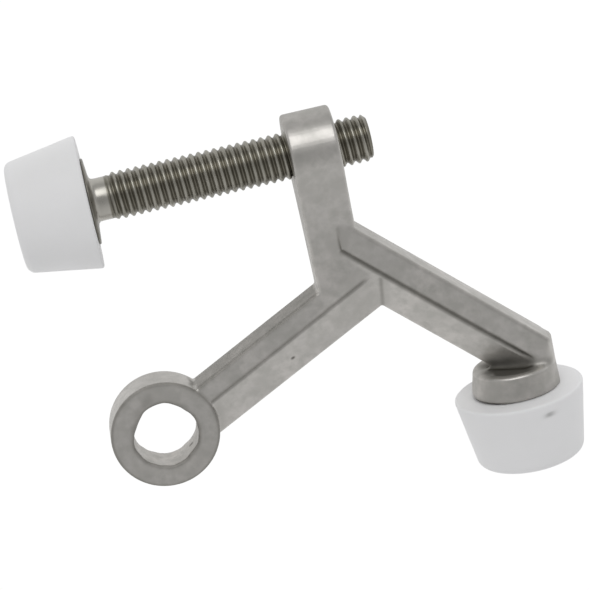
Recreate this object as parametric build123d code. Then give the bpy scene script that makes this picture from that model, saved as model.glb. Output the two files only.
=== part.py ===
"""Hinge-pin door stop: a cast Y-shaped body, a threaded rod and two rubber bumpers.

The frame's origin is the centre of the hinge-pin eye, on the casting's middle plane.
+Z runs along the hinge pin, +X along the threaded rod away from its bumper, and +Y
from the eye towards the rod. All sizes are in millimetres.
"""

from build123d import *
import math
import os

# Hinge-pin eye
eye_outer_r = 7.0
eye_bore_r = 4.25
eye_height = 5.3
eye_edge_r = 0.35
eye_bore_edge = 0.2

# Arms: one square long side, one V-shaped long side
arm_width = 7.35
arm_nose_half = 0.35
arm_draft = 0.12
arm_edge_r = 0.4
body_half = 2.5
eye_arm_angle = 26.3
eye_arm_top = 2.29
eye_arm_flat = 2.55
eye_arm_length = 34.5
eye_arm_half = 2.42
pad_arm_angle = -43.1
pad_arm_top = 35.25
pad_arm_flat = 3.2
pad_arm_half = 3.08
pad_arm_length = 50
pad_arm_left_x = 26.8

# Strap that rises to the boss
strap_left_x = 22.95
strap_width = 6.2
strap_low_y = 8.0
strap_bend_y = 14.2
strap_edge_r = 0.4
boss_y = 31.4
boss_r = 5.15
boss_bore_r = 3.05
boss_bore_chamfer = 0.25

# Pad at the end of the lower arm
pad_x = 45.85
pad_r = 5.45
pad_face_y = -5.85
pad_thickness = 3.5
pad_edge_r = 0.45
neck_nose_x = 42.9
neck_ridge_x = 48.3
neck_top_y = 0.6

# Stud inside each bumper: a neck and a wider, domed head
stud_neck_r = 2.1
stud_neck_length = 2.8
stud_head_r = 3.3
stud_head_length = 2.4
stud_edge_r = 0.8

# Adjusting screw, M6 coarse
pitch = 1.0
screw_major_r = 2.98
screw_minor_r = 2.52
screw_crest = 0.16
screw_root = 0.80
thread_start_x = -0.5
screw_end_x = 33.4
shank_r = 2.7
flange_r = 5.5
flange_rim = 0.45
flange_hub_r = 3.3
flange_hub = 0.8
flange_edge_r = 0.2
flange_face_x = -2.5

# Rubber bumpers
bumper_large_r = 8.5
bumper_small_r = 6.95
bumper_length = 9.4
bumper_large_edge_r = 0.35
bumper_small_edge_r = 1.1
stud_gap = 0.06
head_end_gap = 0.3

# Tools that cut or clip reach past everything they meet
reach = 60
overshoot = 1.0


def direction(angle):
    """Unit vector in the casting's plane, at an angle from +X."""
    return Vector(math.cos(math.radians(angle)), math.sin(math.radians(angle)), 0)


def y_on_line(angle, offset, x):
    """Height of a line that runs at an angle and passes the origin at an offset."""
    normal = direction(angle + 90)
    return (offset - normal.X * x) / normal.Y


def plate(points):
    """Outline in the casting's plane, as a plate through all of its thickness."""
    outline = make_face(Polyline(*points, close=True))
    return extrude(outline, reach, both=True)


def eye_ring():
    """Round eye, before its bore is cut."""
    section = Rectangle(eye_outer_r, eye_height, align=(Align.MIN, Align.CENTER))
    outer = section.vertices().sort_by(Axis.X)[-2:]
    return revolve(Plane.XZ * fillet(outer, eye_edge_r), Axis.Z)


def eye_bore():
    """Hinge pin's hole, with a small chamfer at both mouths."""
    face_z = eye_height / 2
    mouth_r = eye_bore_r + eye_bore_edge
    outline = [
        (0, -face_z),
        (mouth_r, -face_z),
        (eye_bore_r, -face_z + eye_bore_edge),
        (eye_bore_r, face_z - eye_bore_edge),
        (mouth_r, face_z),
        (0, face_z),
    ]
    return revolve(Plane.XZ * make_face(Polyline(*outline, close=True)), Axis.Z)


def arm(angle, top, flat, half, length):
    """Straight arm that starts beside the origin and runs along a direction.

    top is the offset of its square side from the line through the origin, flat is
    the width of its front and back faces, and half is half its thickness.
    """
    ridge = top - flat
    nose = top - arm_width
    corner = top - arm_draft
    outline = [
        (nose, -arm_nose_half),
        (nose, arm_nose_half),
        (ridge, half),
        (corner, half),
        (top, 0),
        (corner, -half),
        (ridge, -half),
    ]
    section = make_face(Polyline(*outline, close=True))
    corners = [v for v in section.vertices() if abs(v.Y) > arm_nose_half / 2]
    section = fillet(corners, arm_edge_r)
    along = direction(angle)
    plane = Plane(origin=(0, 0, 0), x_dir=direction(angle + 90), z_dir=along)
    return extrude(plane * section, length)


def strap_with_boss():
    """Strap that thickens in a gentle curve and ends in a round boss.

    Its foot ends inside the eye's arm, clear of that arm's rounded edges.
    """
    rise = boss_y - strap_bend_y
    bend_r = (rise**2 + body_half**2 - boss_r**2) / (2 * (boss_r - body_half))
    towards_boss = Vector(rise, -body_half - bend_r).normalized()
    bend_start = Vector(strap_bend_y, body_half)
    bend_end = bend_start + Vector(0, bend_r) + towards_boss * bend_r
    opposite_end = Vector(bend_end.X, -bend_end.Y)
    low = Line((strap_low_y, body_half), bend_start)
    bend = RadiusArc(bend_start, bend_end, -bend_r)
    crown = ThreePointArc(bend_end, (boss_y + boss_r, 0), opposite_end)
    lower_side = [mirror(edge, Plane.XZ) for edge in (bend, low)]
    foot = Line((strap_low_y, -body_half), (strap_low_y, body_half))
    profile = make_face([low, bend, crown, *lower_side, foot])
    side = Plane(origin=(strap_left_x, 0, 0), x_dir=(0, 1, 0), z_dir=(1, 0, 0))
    solid = extrude(side * profile, strap_width)
    rims = solid.faces().filter_by(Axis.X).edges()
    solid = fillet(rims, strap_edge_r)
    right_x = strap_left_x + strap_width
    foot_offset = eye_arm_top - eye_arm_flat + 2 * arm_edge_r
    above_arm = plate(
        [
            (strap_left_x, y_on_line(eye_arm_angle, foot_offset, strap_left_x)),
            (right_x, y_on_line(eye_arm_angle, foot_offset, right_x)),
            (right_x, boss_y + boss_r),
            (strap_left_x, boss_y + boss_r),
        ]
    )
    return solid & above_arm


def along_y(radius, low_y, high_y):
    """Cylinder on the pad's axis, between two heights."""
    plane = Plane(origin=(pad_x, low_y, 0), x_dir=(1, 0, 0), z_dir=(0, 1, 0))
    return extrude(plane * Circle(radius), high_y - low_y)


def pad_arm():
    """Lower arm, cut off inside the hub and round over the pad."""
    bar = arm(pad_arm_angle, pad_arm_top, pad_arm_flat, pad_arm_half, pad_arm_length)
    slab = Box(pad_x - pad_arm_left_x, 2 * reach, 2 * reach)
    straight = Pos((pad_arm_left_x + pad_x) / 2, 0, 0) * slab
    round_end = along_y(pad_r, pad_face_y, pad_arm_top)
    return (bar & straight) + (bar & round_end)


def pad_neck():
    """Neck between the lower arm and its pad: square on the outer side, V inside."""
    outline = [
        (neck_nose_x, -arm_nose_half),
        (neck_nose_x, arm_nose_half),
        (neck_ridge_x, pad_arm_half),
        (pad_x + pad_r, pad_arm_half),
        (pad_x + pad_r, -pad_arm_half),
        (neck_ridge_x, -pad_arm_half),
    ]
    level = Plane(origin=(0, pad_face_y + pad_edge_r, 0), x_dir=(1, 0, 0), z_dir=(0, 1, 0))
    section = make_face(Polyline(*outline, close=True))
    block = extrude(level * section, neck_top_y - pad_face_y - pad_edge_r)
    return block & along_y(pad_r, pad_face_y, neck_top_y)


def pad_disc():
    """Round pad that the fixed bumper's large end rests on."""
    disc = along_y(pad_r, pad_face_y, pad_face_y + pad_thickness)
    return fillet(disc.edges(), pad_edge_r)


def stud(start, gap):
    """Stud along +X from a bumper's large end, grown by a gap for its socket."""
    neck_r = stud_neck_r + gap
    head_r = stud_head_r + gap
    neck_end = stud_neck_length - gap
    head_end = stud_neck_length + stud_head_length + (head_end_gap if gap else 0)
    outline = [(start, 0), (start, neck_r), (neck_end, neck_r), (neck_end, head_r)]
    outline += [(head_end, head_r), (head_end, 0)]
    section = make_face(Polyline(*outline, close=True))
    rim = section.vertices().sort_by(Axis.X)[-2:].sort_by(Axis.Y)[-1]
    return revolve(fillet(rim, stud_edge_r), Axis.X)


def bumper():
    """Conical bumper along +X from its large end, with the socket for its stud."""
    outline = [
        (0, 0),
        (0, bumper_large_r),
        (bumper_length, bumper_small_r),
        (bumper_length, 0),
    ]
    section = make_face(Polyline(*outline, close=True))
    by_x = section.vertices().sort_by(Axis.X)
    large_rim = by_x[:2].sort_by(Axis.Y)[-1]
    section = fillet(large_rim, bumper_large_edge_r)
    small_rim = section.vertices().sort_by(Axis.X)[-2:].sort_by(Axis.Y)[-1]
    section = fillet(small_rim, bumper_small_edge_r)
    return revolve(section, Axis.X) - stud(-overshoot, stud_gap)


def thread_outline():
    """Points of the thread's profile from the shank to the end of the rod.

    The thread is a row of rings at its true pitch and depth.
    """
    flank = (screw_root - screw_crest) / 2
    turns = int((screw_end_x - thread_start_x) / pitch)
    points = [(thread_start_x, screw_minor_r)]
    for turn in range(turns):
        crest_x = thread_start_x + (turn + 0.5) * pitch
        points += [
            (crest_x - screw_crest / 2 - flank, screw_minor_r),
            (crest_x - screw_crest / 2, screw_major_r),
            (crest_x + screw_crest / 2, screw_major_r),
            (crest_x + screw_crest / 2 + flank, screw_minor_r),
        ]
    return points + [(screw_end_x, screw_minor_r), (screw_end_x, 0)]


def adjusting_screw():
    """Threaded rod with a plain shank, a coned flange and the stud in its bumper."""
    turned = [
        (flange_face_x, 0),
        (flange_face_x, flange_r),
        (flange_face_x + flange_rim, flange_r),
        (flange_face_x + flange_hub, flange_hub_r),
        (flange_face_x + flange_hub, shank_r),
        (thread_start_x, shank_r),
        *thread_outline(),
    ]
    section = make_face(Polyline(*turned, close=True))
    rims = [v for v in section.vertices() if v.Y > flange_hub_r + flange_edge_r]
    rod = revolve(fillet(rims, flange_edge_r), Axis.X)
    knob = mirror(stud(0, 0), Plane.YZ).moved(Location((flange_face_x, 0, 0)))
    return Pos(0, boss_y, 0) * (rod + knob)


def place_below_pad(solid):
    """Turn a solid made along +X to point down from the pad's face."""
    return Pos(pad_x, pad_face_y, 0) * Rot(0, 0, -90) * solid


def boss_hole():
    """Through hole in the boss, with a chamfer at both mouths."""
    cone_length = 2 * boss_bore_chamfer
    mouth = Cone(boss_bore_r, boss_bore_r + cone_length, cone_length)
    hole = Cylinder(boss_bore_r, strap_width + cone_length)
    hole += Pos(0, 0, strap_width / 2) * mouth
    hole += Pos(0, 0, -strap_width / 2) * mirror(mouth, Plane.XY)
    centre = (strap_left_x + strap_width / 2, boss_y, 0)
    return Plane(origin=centre, x_dir=(0, 1, 0), z_dir=(1, 0, 0)) * hole


def body_casting():
    """One casting: eye, two arms, strap, boss, pad and the fixed bumper's stud."""
    solid = eye_ring()
    solid += arm(eye_arm_angle, eye_arm_top, eye_arm_flat, eye_arm_half, eye_arm_length)
    solid += strap_with_boss()
    solid += pad_arm()
    solid += pad_neck()
    solid += pad_disc()
    solid += place_below_pad(stud(-pad_edge_r, 0))
    return solid - eye_bore() - boss_hole()


def adjustable_bumper():
    """Bumper on the screw's stud, large end against the flange."""
    return mirror(bumper(), Plane.YZ).moved(Location((flange_face_x, boss_y, 0)))


def fixed_bumper():
    """Bumper on the pad's stud, large end against the pad."""
    return place_below_pad(bumper())


parts = {
    "body_casting": body_casting,
    "adjusting_screw": adjusting_screw,
    "adjustable_bumper": adjustable_bumper,
    "fixed_bumper": fixed_bumper,
}

os.makedirs("parts", exist_ok=True)
for name, build in parts.items():
    export_step(build(), f"parts/{name}.step")
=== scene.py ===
"""Looks for the hinge-pin door stop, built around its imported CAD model.

The scene is in metres. The casting's points, the marks on it and the bumpers' outlines
are worked out in millimetres. +Z is the hinge pin's axis, and the adjusting screw runs
along X.
"""

import math

import bmesh
import bpy
import numpy as np
from mathutils import Matrix, Vector, noise


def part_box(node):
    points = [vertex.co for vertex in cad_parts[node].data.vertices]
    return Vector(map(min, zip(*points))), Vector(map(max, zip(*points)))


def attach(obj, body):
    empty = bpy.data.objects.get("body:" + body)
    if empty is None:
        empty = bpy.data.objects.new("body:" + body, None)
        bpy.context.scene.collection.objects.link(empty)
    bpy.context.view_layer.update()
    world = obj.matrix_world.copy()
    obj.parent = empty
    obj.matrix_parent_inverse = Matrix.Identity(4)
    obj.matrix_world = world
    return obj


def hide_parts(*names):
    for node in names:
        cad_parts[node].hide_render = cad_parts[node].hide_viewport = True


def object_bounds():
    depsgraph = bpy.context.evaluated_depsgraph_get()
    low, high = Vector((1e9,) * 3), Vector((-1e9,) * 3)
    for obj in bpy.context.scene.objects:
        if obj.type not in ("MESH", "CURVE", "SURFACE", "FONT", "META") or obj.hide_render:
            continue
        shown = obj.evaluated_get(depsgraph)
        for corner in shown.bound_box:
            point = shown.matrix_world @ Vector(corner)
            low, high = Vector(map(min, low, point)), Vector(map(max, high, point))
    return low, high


MM = 0.001
TINY = 1e-6

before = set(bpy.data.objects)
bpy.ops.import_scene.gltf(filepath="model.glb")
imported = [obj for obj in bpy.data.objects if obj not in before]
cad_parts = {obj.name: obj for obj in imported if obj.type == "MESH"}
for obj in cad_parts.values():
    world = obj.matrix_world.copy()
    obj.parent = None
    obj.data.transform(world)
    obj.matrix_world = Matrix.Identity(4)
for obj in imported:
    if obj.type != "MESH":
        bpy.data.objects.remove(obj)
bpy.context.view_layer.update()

# Adjusting screw
screw_axis_y = sum(p.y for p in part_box("adjusting_screw")) / 2
pitch = 1.0 * MM
major_r = 3.0 * MM
minor_r = 2.61 * MM
shank_r = 2.7 * MM
thread_phase = 0.42
thread_start_x = 0.0
thread_run_in = 0.8 * MM
end_chamfer = 0.55 * MM
flange_x = -2.5 * MM

# Casting, in millimetres. For each arm: its direction in degrees, its ridge's distance
# from the eye's centre, half its thickness there, and where its V side starts and ends.
eye_arm = {"angle": 26.3, "ridge": -0.26, "half": 2.42, "start": 7.0, "end": 32.6}
pad_arm = {"angle": -43.1, "ridge": 32.05, "half": 3.08, "start": 6.8, "end": 35.6}
eye_arm_top = 2.29
pad_arm_top = 35.25
pad_x = 45.85
pad_top_y = -2.35
pad_face_y = -5.85
pad_reach = 7.0
eye_bore_r = 4.25

# ---------------------------------------------------------------- small helpers


def new_object(name, mesh, smooth=True):
    """Link a mesh to the scene as an object."""
    for face in mesh.polygons:
        face.use_smooth = smooth
    obj = bpy.data.objects.new(name, mesh)
    bpy.context.scene.collection.objects.link(obj)
    return obj


def apply_modifiers(obj):
    """Replace an object's mesh with the result of its modifiers."""
    bpy.context.view_layer.update()
    graph = bpy.context.evaluated_depsgraph_get()
    mesh = bpy.data.meshes.new_from_object(obj.evaluated_get(graph))
    obj.modifiers.clear()
    obj.data = mesh
    for face in mesh.polygons:
        face.use_smooth = True


def soften(obj, weights, iterations):
    """Relax an object's mesh where the weights, one per point, are above zero."""
    least = 0.01
    group = obj.vertex_groups.new(name="soft")
    for index in np.nonzero(weights > least)[0]:
        group.add([int(index)], float(weights[index]), "REPLACE")
    smooth = obj.modifiers.new("soften", "SMOOTH")
    smooth.vertex_group = group.name
    smooth.factor = 0.5
    smooth.iterations = iterations
    apply_modifiers(obj)


def tube_mesh(name, rings):
    """Closed tube from rings of points, each ring in order around the axis."""
    bm = bmesh.new()
    rows = [[bm.verts.new(p) for p in ring] for ring in rings]
    count = len(rows[0])
    for low, high in zip(rows, rows[1:]):
        for i in range(count):
            j = (i + 1) % count
            bm.faces.new((low[i], low[j], high[j], high[i]))
    for row, order in ((rows[0], -1), (rows[-1], 1)):
        centre = sum((v.co for v in row), Vector()) / count
        middle = bm.verts.new(centre)
        for i in range(count):
            j = (i + 1) % count
            bm.faces.new((row[i], row[j], middle)[::order])
    bmesh.ops.recalc_face_normals(bm, faces=bm.faces[:])
    mesh = bpy.data.meshes.new(name)
    bm.to_mesh(mesh)
    bm.free()
    return mesh


def mesh_points(mesh):
    """A mesh's points as rows, in millimetres."""
    points = np.empty(len(mesh.vertices) * 3)
    mesh.vertices.foreach_get("co", points)
    return points.reshape(-1, 3) / MM


def move_points(mesh, points):
    """Put a mesh's points at new places, given in millimetres."""
    mesh.vertices.foreach_set("co", (points * MM).ravel())


def paint(mesh, name, values):
    """Store one value per point for a material to read."""
    layer = mesh.attributes.new(name, "FLOAT", "POINT")
    layer.data.foreach_set("value", np.clip(values, 0, 1).astype(np.float32))


def ramp(values, low, high):
    """Smooth step from 0 to 1 between two limits."""
    t = np.clip((values - low) / (high - low), 0, 1)
    return t * t * (3 - 2 * t)


def near_segment(points, start, end, reach):
    """1 on a line between two points and its mirror image in z, 0 beyond a reach."""
    start, end = np.array(start), np.array(end)
    folded = points.copy()
    folded[:, 2] = np.abs(points[:, 2])
    line = end - start
    t = np.clip((folded - start) @ line / (line @ line), 0, 1)
    gap = np.linalg.norm(folded - start - t[:, None] * line, axis=1)
    return 1 - ramp(gap, 0, reach)


# ---------------------------------------------------------------- materials


class Nodes:
    """Short way to write a material's node tree."""

    def __init__(self, name):
        self.material = bpy.data.materials.new(name)
        self.material.use_nodes = True
        self.tree = self.material.node_tree
        self.shader = self.tree.nodes["Principled BSDF"]
        coords = self.tree.nodes.new("ShaderNodeTexCoord")
        self.place = coords.outputs["Object"]

    def link(self, source, target):
        self.tree.links.new(source, target)

    def noise(self, scale, detail):
        node = self.tree.nodes.new("ShaderNodeTexNoise")
        node.inputs["Scale"].default_value = scale
        node.inputs["Detail"].default_value = detail
        node.inputs["Roughness"].default_value = 0.55
        self.link(self.place, node.inputs["Vector"])
        return node.outputs["Fac"]

    def along(self, axis):
        split = self.tree.nodes.new("ShaderNodeSeparateXYZ")
        self.link(self.place, split.inputs[0])
        return split.outputs[axis]

    def radius_about_x(self, axis_y):
        """Distance from a line along X at a height in Y."""
        shift = self.tree.nodes.new("ShaderNodeVectorMath")
        shift.operation = "SUBTRACT"
        shift.inputs[1].default_value = (0, axis_y, 0)
        flat = self.tree.nodes.new("ShaderNodeVectorMath")
        flat.operation = "MULTIPLY"
        flat.inputs[1].default_value = (0, 1, 1)
        size = self.tree.nodes.new("ShaderNodeVectorMath")
        size.operation = "LENGTH"
        self.link(self.place, shift.inputs[0])
        self.link(shift.outputs["Vector"], flat.inputs[0])
        self.link(flat.outputs["Vector"], size.inputs[0])
        return size.outputs["Value"]

    def painted(self, name):
        """A value that the mesh code has stored on every point."""
        node = self.tree.nodes.new("ShaderNodeAttribute")
        node.attribute_name = name
        return node.outputs["Fac"]

    def spread(self, value, low, high, to_low=0.0, to_high=1.0):
        """Stretch the range between two limits to another range, and clamp it."""
        node = self.tree.nodes.new("ShaderNodeMapRange")
        node.inputs["From Min"].default_value = low
        node.inputs["From Max"].default_value = high
        node.inputs["To Min"].default_value = to_low
        node.inputs["To Max"].default_value = to_high
        self.link(value, node.inputs["Value"])
        return node.outputs["Result"]

    def patches(self, scale, detail):
        """Noise from 0 in its dark patches to 1 in its light ones."""
        return self.spread(self.noise(scale, detail), 0.35, 0.65)

    def uneven(self, scale, detail, low, high):
        """Noise that wanders between two values."""
        return self.spread(self.noise(scale, detail), 0.3, 0.7, low, high)

    def blend(self, factor, a, b):
        """Mix two colours, each a tuple or a node's output."""
        node = self.tree.nodes.new("ShaderNodeMix")
        node.data_type = "RGBA"
        self.link(factor, node.inputs[0])
        for value, key in ((a, 6), (b, 7)):
            if isinstance(value, tuple):
                node.inputs[key].default_value = (*value, 1)
            else:
                self.link(value, node.inputs[key])
        return node.outputs[2]

    def bump(self, height, distance, strength, below=None):
        node = self.tree.nodes.new("ShaderNodeBump")
        node.inputs["Distance"].default_value = distance
        node.inputs["Strength"].default_value = strength
        self.link(height, node.inputs["Height"])
        if below:
            self.link(below, node.inputs["Normal"])
        return node.outputs["Normal"]


def satin_nickel():
    """Tumbled zinc casting under satin nickel plate, darker and matt where shade and dirt are
    painted.
    """
    light, dark = (0.662, 0.636, 0.607), (0.577, 0.560, 0.537)
    cloud, speck = (0.43, 0.42, 0.395), (0.500, 0.489, 0.462)
    # colour and roughness where shade and a few dark marks are painted
    shade_and_dirt_colour, shade_and_dirt_roughness = (0.075, 0.070, 0.055), (0.72, 0.72, 0.72)
    n = Nodes("satin_nickel_casting")
    n.shader.inputs["Metallic"].default_value = 1.0
    # how much shade and dirt is painted on each point
    shade_and_dirt = n.painted("shade_and_dirt")
    colour = n.blend(n.patches(90, 5), dark, light)
    clouds = n.spread(n.noise(230, 3), 0.48, 0.68, 0, 0.55)
    colour = n.blend(clouds, colour, cloud)
    colour = n.blend(n.patches(700, 4), colour, speck)
    colour = n.blend(shade_and_dirt, colour, shade_and_dirt_colour)
    n.link(colour, n.shader.inputs["Base Color"])
    clean = n.uneven(260, 4, 0.34, 0.46)
    roughness = n.blend(n.spread(shade_and_dirt, 0, 0.5), clean, shade_and_dirt_roughness)
    n.link(roughness, n.shader.inputs["Roughness"])
    orange_peel = n.bump(n.noise(420, 3), 0.04 * MM, 0.35)
    grain = n.bump(n.noise(2600, 2), 0.012 * MM, 0.35, orange_peel)
    n.link(grain, n.shader.inputs["Normal"])
    return n.material


def screw_nickel():
    """Nickel-plated thread, lighter on the crests and painted darker in the roots as their
    shade.
    """
    crest_dark, crest_light = (0.30, 0.29, 0.25), (0.40, 0.385, 0.34)
    # root is the colour of the thread's roots, painted dark as their shade
    root, shank, flange = (0.190, 0.178, 0.145), (0.49, 0.475, 0.435), (0.24, 0.23, 0.20)
    n = Nodes("nickel_screw")
    n.shader.inputs["Metallic"].default_value = 1.0
    from_axis = n.radius_about_x(screw_axis_y)
    crest = n.blend(n.patches(300, 4), crest_dark, crest_light)
    root_to_crest = n.spread(from_axis, minor_r, major_r - 0.10 * MM)
    colour = n.blend(root_to_crest, root, crest)
    before_thread = n.spread(n.along("X"), -0.05 * MM, -0.2 * MM)
    colour = n.blend(before_thread, colour, shank)
    on_flange = n.spread(from_axis, 3.05 * MM, 3.4 * MM)
    colour = n.blend(on_flange, colour, flange)
    n.link(colour, n.shader.inputs["Base Color"])
    n.link(n.uneven(500, 3, 0.26, 0.38), n.shader.inputs["Roughness"])
    n.link(n.bump(n.noise(1500, 3), 0.02 * MM, 0.4), n.shader.inputs["Normal"])
    return n.material


def white_rubber():
    """Matt off-white moulded rubber, darker where a nick is painted."""
    dark, light = (0.865, 0.865, 0.868), (0.90, 0.90, 0.91)
    # dark colour painted in a bumper's nick
    shade_and_dirt_colour = (0.22, 0.215, 0.21)
    n = Nodes("white_rubber")
    colour = n.blend(n.patches(60, 4), dark, light)
    colour = n.blend(n.painted("shade_and_dirt"), colour, shade_and_dirt_colour)
    n.link(colour, n.shader.inputs["Base Color"])
    n.link(n.uneven(300, 3, 0.48, 0.62), n.shader.inputs["Roughness"])
    n.link(n.bump(n.noise(700, 4), 0.03 * MM, 0.4), n.shader.inputs["Normal"])
    return n.material


nickel = satin_nickel()
thread_metal = screw_nickel()
rubber = white_rubber()

# ---------------------------------------------------------------- camera and light

view_target = Vector((20.06, 13.42, 0)) * MM
view_distance = 315.4 * MM
view_tilt = math.radians(17.06)
view_side = math.radians(-3.14)
view_roll = math.radians(13.27)
view_focal = 2480.4
image_width = 590
sensor = 36.0

# Brightness of the light tent by height, from straight down to straight up
tent_near = ((0.0, 0.74), (0.22, 0.72), (0.45, 0.70), (0.75, 0.64), (0.95, 0.50), (1.0, 0.40))
tent_far = ((0.0, 0.45), (0.3, 0.52), (0.7, 0.45), (0.9, 0.36), (1.0, 0.36))
backdrop_strength = 1.02


def add_camera():
    """Camera above the part, tilted, turned and rolled; its focal length is in pixels."""
    back = Vector(
        (
            math.sin(view_side) * math.cos(view_tilt),
            math.sin(view_tilt),
            math.cos(view_side) * math.cos(view_tilt),
        )
    ).normalized()
    level = (Vector((1, 0, 0)) - back * back.x).normalized()
    rise = back.cross(level)
    right = level * math.cos(view_roll) - rise * math.sin(view_roll)
    up = level * math.sin(view_roll) + rise * math.cos(view_roll)
    data = bpy.data.cameras.new("camera")
    data.sensor_width = sensor
    data.lens = view_focal * sensor / image_width
    data.clip_start = 0.01
    camera = bpy.data.objects.new("camera", data)
    turn = Matrix((right, up, back)).transposed().to_4x4()
    camera.matrix_world = Matrix.Translation(view_target + back * view_distance) @ turn
    bpy.context.scene.collection.objects.link(camera)
    bpy.context.scene.camera = camera


def white_for_camera(tree, surface, white_node, output_node):
    """Show plain white to the camera, and a surface's own light to everything else."""
    white = tree.nodes.new(white_node)
    white.inputs["Color"].default_value = (1, 1, 1, 1)
    white.inputs["Strength"].default_value = backdrop_strength
    path = tree.nodes.new("ShaderNodeLightPath")
    mix = tree.nodes.new("ShaderNodeMixShader")
    tree.links.new(path.outputs["Is Camera Ray"], mix.inputs[0])
    tree.links.new(surface, mix.inputs[1])
    tree.links.new(white.outputs[0], mix.inputs[2])
    tree.links.new(mix.outputs[0], tree.nodes[output_node].inputs["Surface"])


def grey_ramp(tree, value, stops):
    """Grey that follows a value from 0 to 1 through stops of position and level."""
    node = tree.nodes.new("ShaderNodeValToRGB")
    elements = node.color_ramp.elements
    while len(elements) < len(stops):
        elements.new(0.5)
    for element, (position, level) in zip(elements, stops):
        element.position = position
        element.color = (level, level, level, 1)
    tree.links.new(value, node.inputs["Fac"])
    return node.outputs["Color"]


def add_world():
    """Light tent: grey overhead, where the camera stands, and brighter low down."""
    world = bpy.data.worlds.new("studio")
    bpy.context.scene.world = world
    world.use_nodes = True
    tree = world.node_tree
    background = tree.nodes["Background"]
    coords = tree.nodes.new("ShaderNodeTexCoord")
    split = tree.nodes.new("ShaderNodeSeparateXYZ")
    tree.links.new(coords.outputs["Generated"], split.inputs[0])
    near_to_far = tree.nodes.new("ShaderNodeMapRange")
    near_to_far.inputs["From Min"].default_value = -0.25
    near_to_far.inputs["From Max"].default_value = 0.15
    tree.links.new(split.outputs["Y"], near_to_far.inputs["Value"])
    mix = tree.nodes.new("ShaderNodeMix")
    mix.data_type = "RGBA"
    tree.links.new(near_to_far.outputs["Result"], mix.inputs[0])
    tree.links.new(grey_ramp(tree, split.outputs["Z"], tent_near), mix.inputs[6])
    tree.links.new(grey_ramp(tree, split.outputs["Z"], tent_far), mix.inputs[7])
    tree.links.new(mix.outputs[2], background.inputs["Color"])
    white_for_camera(tree, background.outputs[0], "ShaderNodeBackground", "World Output")


def add_softbox(name, place, size, power):
    """Rectangular light at a place, aimed at the part."""
    data = bpy.data.lights.new(name, "AREA")
    data.shape = "RECTANGLE"
    data.size, data.size_y = size
    data.energy = power
    light = bpy.data.objects.new(name, data)
    light.location = place
    aim = (view_target - Vector(place)).to_track_quat("-Z", "Y")
    light.rotation_euler = aim.to_euler()
    bpy.context.scene.collection.objects.link(light)


def add_floor():
    """Plain white table just under the bumpers; it glows a little, lighting the part from
    below, and is greyer and dimmer past the part in reflections.
    """
    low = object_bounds()[0][2] - 0.02 * MM
    size = 2.5
    near_grey, far_grey = (0.80, 0.80, 0.80), (0.40, 0.40, 0.40)
    near_glow, far_glow = (1, 1, 1), (0.2, 0.2, 0.2)
    corners = [(x * size, y * size, low) for x, y in ((-1, -1), (1, -1), (1, 1), (-1, 1))]
    mesh = bpy.data.meshes.new("floor")
    mesh.from_pydata(corners, [], [(0, 1, 2, 3)])
    floor = new_object("floor", mesh, False)
    n = Nodes("floor_white")
    away = n.spread(n.along("Y"), 0.045, 0.10)
    n.link(n.blend(away, near_grey, far_grey), n.shader.inputs["Base Color"])
    n.link(n.blend(away, near_glow, far_glow), n.shader.inputs["Emission Color"])
    n.shader.inputs["Roughness"].default_value = 0.9
    n.shader.inputs["Emission Strength"].default_value = 0.32
    white_for_camera(n.tree, n.shader.outputs[0], "ShaderNodeEmission", "Material Output")
    mesh.materials.append(n.material)


add_camera()
add_world()
add_softbox("key", (0.0, 0.55, 0.42), (0.7, 0.40), 1.5)
bpy.context.scene.view_settings.view_transform = "Standard"

# ---------------------------------------------------------------- casting

# Casting flash in the eye's bore: angle, spread in degrees, and height
bore_flash = ((150, 34, 0.42), (48, 26, 0.25), (-52, 14, 0.16), (-120, 20, 0.1))

# Dark lines and spots, the same front and back, most of them painted shade: where each
# starts and ends, how far it reaches, and how dark it is
dark_marks = (
    # painted shade in the pocket between the neck and the pad and along the neck's foot, and
    # over a highlight beside it
    ((43.0, pad_top_y + 0.3, 1.2), (46.8, pad_top_y + 0.3, 3.2), 2.4, 0.9),
    ((42.6, pad_top_y, 0.6), (46.6, pad_top_y, 3.1), 0.85, 1.0),
    ((46.6, pad_top_y, 3.1), (47.6, pad_top_y, 3.1), 0.85, 1.0),
    ((47.8, pad_top_y + 0.25, 3.2), (50.6, pad_top_y + 0.25, 3.2), 1.0, 0.20),
    # painted shade where the pad arm's slab ends on the strap, and in the crease between the
    # arms
    ((26.8, 18.6, 2.8), (26.9, 21.5, 2.8), 0.45, 0.5),
    ((31.0, 13.7, 2.4), (30.8, 9.7, 0.35), 0.45, 0.30),
    # painted shade in the corner between the eye and its arm; a worn place on its face, and
    # one in its bore
    ((4.83, 5.2, 0.3), (4.83, 6.0, 2.3), 0.7, 0.50),
    ((-2.9, 3.4, 2.65), (-1.0, 5.2, 2.65), 1.3, 0.22),
    ((2.8, -3.1, 0.0), (3.0, -2.9, 0.0), 0.4, 0.75),
)
front_pit = ((17.95, 5.70, 1.3), (18.1, 5.74, 1.3), 0.34, 0.7)


def arm_place(points, arm):
    """Each point's distance along an arm, and across it towards the screw."""
    angle = math.radians(arm["angle"])
    along = points[:, 0] * math.cos(angle) + points[:, 1] * math.sin(angle)
    across = -points[:, 0] * math.sin(angle) + points[:, 1] * math.cos(angle)
    return along, across


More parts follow.
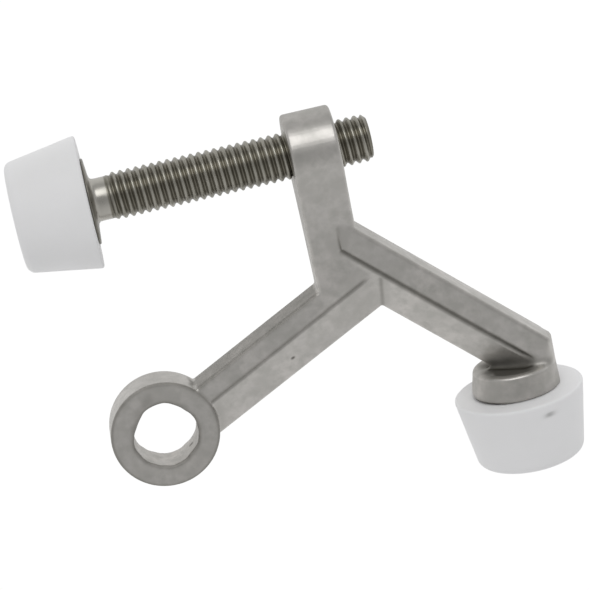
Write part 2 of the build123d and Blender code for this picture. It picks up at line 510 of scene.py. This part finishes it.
def cut_groove(points, arm, depth, width):
    """Press a shallow groove into the V side just below an arm's ridge.

    The result is 1 along the groove and 0 away from it, and marks where a dark line of shade
    is painted under the ridge.
    """
    along, across = arm_place(points, arm)
    on_arm = ramp(along, arm["start"] - 0.3, arm["start"] + 0.3)
    on_arm *= 1 - ramp(along, arm["end"] - 1.2, arm["end"] + 0.8)
    on_arm *= ramp(np.abs(points[:, 2]), arm["half"] - 1.3, arm["half"] - 0.9)
    below = arm["ridge"] - across
    profile = ramp(below, -0.05, 0.22) * (1 - ramp(below, 0.22, width))
    points[:, 2] -= np.sign(points[:, 2]) * depth * profile * on_arm
    return ramp(below, -0.35, 0.1) * (1 - ramp(below, 0.2, width)) * on_arm


def edge_shade(points, arm, top, depth, reach, end):
    """1 on an arm's square side and on the rounded edge in front of it, where shade is
    painted over the light those faces catch.
    """
    along, across = arm_place(points, arm)
    inside = ramp(along, arm["start"] - 0.2, arm["start"] + 0.1)
    inside *= 1 - ramp(along, end - 0.3, end)
    beside = ramp(across, top - depth - 0.15, top - depth)
    beside *= 1 - ramp(across, top + reach, top + reach + 0.1)
    return inside * beside


def level_hub(points):
    """Blend the strap's foot into the eye arm's slightly lower front and back."""
    hub_x, half_width = 26.0, 5.5
    low_y, blend_y, high_y = 7.5, 10.5, 14.2
    rise, strap_half = 0.08, 2.53
    height = np.abs(points[:, 2])
    limit = eye_arm["half"] + rise * ramp(points[:, 1], blend_y, high_y)
    in_hub = np.abs(points[:, 0] - hub_x) < half_width
    in_hub &= (points[:, 1] > low_y) & (points[:, 1] < high_y)
    proud = in_hub & (height > limit) & (height < strap_half)
    points[proud, 2] = np.sign(points[proud, 2]) * limit[proud]


def flare_pad(points):
    """Widen the pad towards its face by up to 0.5 mm, most on the side of the eye."""
    flare, flare_all_round, inner_r = 0.5, 0.2, 4.6
    out_x, out_z = points[:, 0] - pad_x, points[:, 2]
    radius = np.maximum(np.hypot(out_x, out_z), TINY)
    on_side = (points[:, 1] < pad_top_y) & (points[:, 1] > pad_face_y - 0.05)
    on_side &= (radius > inner_r) & (radius < pad_reach)
    towards_eye = np.clip(-out_x / radius, 0, 1)
    share = flare_all_round + (1 - flare_all_round) * towards_eye
    drop = ramp(-points[:, 1], -pad_top_y, -pad_face_y - 0.3)
    shift = np.where(on_side, flare * drop * share / radius, 0)
    points[:, 0] += out_x * shift
    points[:, 2] += out_z * shift


def roughen_bore(points):
    """Casting flash that narrows the eye's bore unevenly."""
    raggedness, ragged_scale = 0.12, 0.8
    radius = np.hypot(points[:, 0], points[:, 1])
    angle = np.degrees(np.arctan2(points[:, 1], points[:, 0]))
    inside = 1 - ramp(radius, eye_bore_r + 0.05, eye_bore_r + 0.6)
    flash = np.zeros(len(points))
    for centre, spread, height in bore_flash:
        turn = (angle - centre + 180) % 360 - 180
        flash += height * np.exp(-((turn / spread) ** 2))
    ragged = [noise.noise(Vector(p) * ragged_scale) for p in points[inside > 0]]
    flash[inside > 0] += raggedness * np.array(ragged)
    shift = inside * flash / np.maximum(radius, TINY)
    points[:, 0] -= points[:, 0] * shift
    points[:, 1] -= points[:, 1] * shift


def arm_tones(points):
    """Press the grooves, and paint shade along them, on the eye arm's top and on the pad
    arm's rim.
    """
    strap_x, eye_arm_shade_end, pad_arm_shade_end = 22.4, 30, 38.5
    tones = [
        # painted shade along the grooves under the ridges
        0.62 * cut_groove(points, pad_arm, 0.28, 0.80),
        0.40 * cut_groove(points, eye_arm, 0.14, 0.6),
    ]
    height = np.abs(points[:, 2])
    top = edge_shade(points, eye_arm, eye_arm_top, 0.35, 0.2, eye_arm_shade_end)
    top *= 1 - ramp(points[:, 0], strap_x, strap_x + 0.5)
    # painted shade on the eye arm's lit top side and over its edge's highlight
    tones.append(0.30 * top + 0.08 * top * ramp(height, 1.7, 2.0))
    rim = edge_shade(points, pad_arm, pad_arm_top, 0.45, -0.1, pad_arm_shade_end)
    # painted shade on the pad arm's rim
    tones.append(0.16 * rim * ramp(height, 2.3, 2.8))
    return tones


def eye_tone(points):
    """Slightly darker faces on the eye, with lines of painted shade near both their rims that
    dull their highlights.
    """
    face_z, arm_x, outer_r = 2.35, 7.5, 7.2
    outer_line_r, bore_line_r, line_width = 6.85, 4.4, 0.22
    from_axis = np.hypot(points[:, 0], points[:, 1])
    on_face = (np.abs(points[:, 2]) > face_z) * (points[:, 0] < arm_x)
    # lines of painted shade over the rims' highlights
    outer_line = np.exp(-(((from_axis - outer_line_r) / line_width) ** 2))
    bore_line = np.exp(-(((from_axis - bore_line_r) / line_width) ** 2))
    return on_face * (0.05 * (from_axis < outer_r) + 0.36 * outer_line + 0.34 * bore_line)


def pad_tones(points):
    """Painted shade beside the neck on the pad's top, a darker tone on its side, and a
    painted contact shadow along its face.
    """
    rim_r, rim_width = 5.6, 0.9
    from_axis = np.hypot(points[:, 0] - pad_x, points[:, 2])
    on_top = np.abs(points[:, 1] - pad_top_y) < 0.35
    # painted shade in the pocket beside the neck
    beside_neck = on_top * (1 - ramp(from_axis, 4.2, 5.0))
    beside_neck *= ramp(points[:, 0], 42.2, 43.0) * (1 - ramp(points[:, 0], 46.5, 49.5))
    side = (points[:, 1] < pad_top_y - 0.4) * (from_axis < pad_reach)
    around = np.degrees(np.arctan2(np.abs(points[:, 2]), points[:, 0] - pad_x))
    # painted shadow where the pad's face meets the rubber
    contact_shadow = ramp(around, 95, 140) * (np.abs(from_axis - rim_r) < rim_width)
    contact_shadow *= 1 - ramp(points[:, 1], pad_face_y + 0.15, pad_face_y + 0.5)
    return [0.8 * beside_neck, 0.14 * side, 0.85 * contact_shadow]


def mark_tones(points):
    """The dark lines and spots, the pit on the front, and painted shade on the boss's top."""
    boss_x, boss_low_y, boss_top_y = 14, 34.3, 35.6
    tones = [
        darkness * near_segment(points, start, end, reach)
        for start, end, reach, darkness in dark_marks
    ]
    start, end, reach, darkness = front_pit
    tones.append(darkness * near_segment(points, start, end, reach) * (points[:, 2] > 0))
    # painted shade darkening the top of the boss
    tones.append(0.09 * ramp(points[:, 1], boss_low_y, boss_top_y) * (points[:, 0] > boss_x))
    return tones


def remeshed_casting():
    """The casting's CAD shape as an even mesh with slightly rounded edges."""
    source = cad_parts["body_casting"]
    body = new_object("cast_body", source.data.copy())
    weld = body.modifiers.new("weld", "WELD")
    weld.merge_threshold = 0.002 * MM
    remesh = body.modifiers.new("remesh", "REMESH")
    remesh.mode = "VOXEL"
    remesh.voxel_size = 0.13 * MM
    remesh.adaptivity = 0.0
    smooth = body.modifiers.new("smooth", "SMOOTH")
    smooth.factor = 0.5
    smooth.iterations = 5
    apply_modifiers(body)
    return body


def blend_joins(body):
    """Soften where the strap meets the arms, and where the neck meets the pad."""
    points = mesh_points(body.data)
    level_hub(points)
    move_points(body.data, points)
    soften(body, near_segment(points, (25.0, 10.5, 2.4), (28.0, 13.5, 2.4), 4.5), 60)
    points = mesh_points(body.data)
    foot_y = pad_top_y + 0.2
    outer_foot = near_segment(points, (45.0, foot_y, 3.1), (51.0, foot_y, 3.1), 2.4)
    inner_foot = near_segment(points, (42.3, foot_y, 0.4), (45.0, foot_y, 3.1), 1.5)
    soften(body, np.maximum(outer_foot, inner_foot), 160)


def cast_body():
    """The casting, tumbled and slightly uneven, with painted shade and a few dark marks on
    it.
    """
    body = remeshed_casting()
    blend_joins(body)
    mesh = body.data
    points = mesh_points(mesh)
    tones = arm_tones(points) + [eye_tone(points)]
    roughen_bore(points)
    flare_pad(points)
    tones += pad_tones(points) + mark_tones(points)
    move_points(mesh, points)
    # store the painted shade and dark marks on each point
    paint(mesh, "shade_and_dirt", np.maximum.reduce(tones))
    mesh.materials.clear()
    mesh.materials.append(nickel)
    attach(body, "body")
    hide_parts("body_casting")


# ---------------------------------------------------------------- threaded rod

# Outlines in millimetres: place along X, and radius
stud_outline = ((0.0, 0.6), (0.15, 2.0), (0.8, 3.2), (2.3, 3.25), (2.4, 3.0), (2.45, 2.1))
flange_outline = (
    (-0.05, 2.1), (0.0, 2.2), (0.0, 5.2), (0.04, 5.42), (0.12, 5.48), (0.22, 5.48),
    (0.32, 5.35), (0.50, 3.3), (0.60, 2.95), (0.80, 2.74), (1.2, 2.7),
)
rod_sides = 72
rings_per_pitch = 16


def thread_radius(phase):
    """Radius of a rolled thread, where phase runs from 0 to 1 over one pitch."""
    crest, root = 0.07, 0.45
    distance = abs(phase % 1.0 - 0.5)
    t = min(max((distance - crest) / (root - crest), 0), 1)
    rounded = 0.5 * t + 0.5 * t * t * (3 - 2 * t)
    return major_r + (minor_r - major_r) * rounded


def rod_radius(x, angle, end_x):
    """The threaded part's radius, with its run-in at the shank and its end chamfer."""
    thread = thread_radius(x / pitch - angle / (2 * math.pi) + thread_phase)
    entry = min(max((x - thread_start_x) / thread_run_in, 0), 1)
    return min(shank_r + (thread - shank_r) * entry, major_r - end_chamfer + (end_x - x))


def rod_ring(x, radius_at):
    """Points around the screw's axis, with a radius for each angle."""
    points = []
    for i in range(rod_sides):
        angle = 2 * math.pi * i / rod_sides
        r = radius_at(angle)
        points.append((x, screw_axis_y + r * math.cos(angle), r * math.sin(angle)))
    return points


def screw_object():
    """Rod with a right-hand helical thread, plain shank, flange and headed stud."""
    low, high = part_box("adjusting_screw")
    end_x = high.x
    rings = []
    for origin, outline in ((low.x, stud_outline), (flange_x, flange_outline)):
        for x, r in outline:
            rings.append(rod_ring(origin + x * MM, lambda angle, r=r: r * MM))
    steps = round((end_x - thread_start_x) / pitch * rings_per_pitch)
    for k in range(steps + 1):
        x = thread_start_x + (end_x - thread_start_x) * k / steps
        rings.append(rod_ring(x, lambda angle, x=x: rod_radius(x, angle, end_x)))
    mesh = tube_mesh("threaded_rod", rings)
    rod = new_object("threaded_rod", mesh)
    mesh.materials.append(thread_metal)
    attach(rod, "screw")
    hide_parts("adjusting_screw")


# ---------------------------------------------------------------- bumpers

bumper_large_r = 8.44
bumper_small_r = 6.95
bumper_length = 9.4
bumper_sides = 240
bumper_step = 0.3
socket_outline = ((5.45, 0.3), (5.3, 3.4), (2.75, 3.4), (2.7, 2.3), (0.0, 2.3))


def bumper_outline():
    """Outside of a bumper from its large end: place along X, and radius."""
    edge_r, nose_r, bulge = 0.32, 1.1, 0.16
    edge_steps, nose_steps = 6, 8
    outer = [(0.0, 2.3), (0.0, 8.05)]
    for k in range(1, edge_steps + 1):
        a = math.pi / 2 * k / edge_steps
        outer.append(
            (edge_r - edge_r * math.cos(a), bumper_large_r - edge_r + edge_r * math.sin(a))
        )
    slope = math.atan2(bumper_large_r - bumper_small_r, bumper_length)
    centre_x = bumper_length - nose_r
    centre_r = bumper_small_r + bulge - nose_r
    for k in range(nose_steps + 1):
        a = (math.pi / 2 - slope) * (1 - k / nose_steps)
        outer.append((centre_x + nose_r * math.cos(a), centre_r + nose_r * math.sin(a)))
    dished_x = bumper_length - 0.02
    return outer + [(bumper_length, 4.2), (dished_x, 2.0), (dished_x, 0.3)]


def divide(outline):
    """Add points to an outline so that none are much further apart than a step."""
    dense = []
    for (x0, r0), (x1, r1) in zip(outline, outline[1:]):
        parts = max(1, round(math.hypot(x1 - x0, r1 - r0) / bumper_step))
        for k in range(parts):
            dense.append((x0 + (x1 - x0) * k / parts, r0 + (r1 - r0) * k / parts))
    return dense + [outline[-1]]


def nick_depth(nick, x, r, angle):
    """1 in the middle of a nick, 0 away from it.

    A nick is a place on a bumper's side: millimetres from the large end, and degrees.
    """
    half_length, half_width = 0.75, 0.28
    nick_x, nick_angle = nick
    turn = (math.degrees(angle) - nick_angle + 180) % 360 - 180
    aside = math.radians(turn) * r
    return math.exp(-((aside / half_length) ** 2) - ((x - nick_x) / half_width) ** 2)


def bumper_object(name, node, body, place, nick=None):
    """Turned rubber bumper with slight moulding unevenness and perhaps a nick."""
    wave_scale, waviness, cut, nick_tone = 0.35, 0.004, 0.32, 0.65
    outside = divide(bumper_outline())[1:]
    rings, shade_and_dirt = [], []
    for number, (x, r) in enumerate([*socket_outline, *outside]):
        ring = []
        for i in range(bumper_sides):
            angle = 2 * math.pi * i / bumper_sides
            on_outside = number >= len(socket_outline)
            dent = nick_depth(nick, x, r, angle) if nick and on_outside else 0.0
            plain = Vector((x, r * math.cos(angle), r * math.sin(angle)))
            real_r = r * (1 + waviness * noise.noise(plain * wave_scale)) - cut * dent
            p = Vector((x, real_r * math.cos(angle), real_r * math.sin(angle))) * MM
            ring.append(place @ p)
            shade_and_dirt.append(nick_tone * dent)
        rings.append(ring)
    mesh = tube_mesh(name, rings)
    shade_and_dirt += [0.0] * (len(mesh.vertices) - len(shade_and_dirt))
    paint(mesh, "shade_and_dirt", np.array(shade_and_dirt))
    obj = new_object(name, mesh)
    mesh.materials.append(rubber)
    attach(obj, body)
    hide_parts(node)


def place_from_box(node, direction, lean=0.0):
    """Turn +X to a bumper's direction, with its large end's centre in place.

    lean is a small angle about Z, in degrees, for a bumper that sits a little askew.
    """
    low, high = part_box(node)
    centre = (low + high) / 2
    turn = Vector((1, 0, 0)).rotation_difference(direction).to_matrix().to_4x4()
    half = abs((high - low).dot(direction)) / 2
    askew = Matrix.Rotation(math.radians(lean), 4, "Z")
    return Matrix.Translation(centre - direction * half) @ askew @ turn


cast_body()
screw_object()
bumper_object(
    "adjustable_rubber", "adjustable_bumper", "travelling_bumper",
    place_from_box("adjustable_bumper", Vector((-1, 0, 0))),
)
bumper_object(
    "fixed_rubber", "fixed_bumper", "body",
    place_from_box("fixed_bumper", Vector((0, -1, 0)), 0.8), nick=(1.65, 74),
)
add_floor()
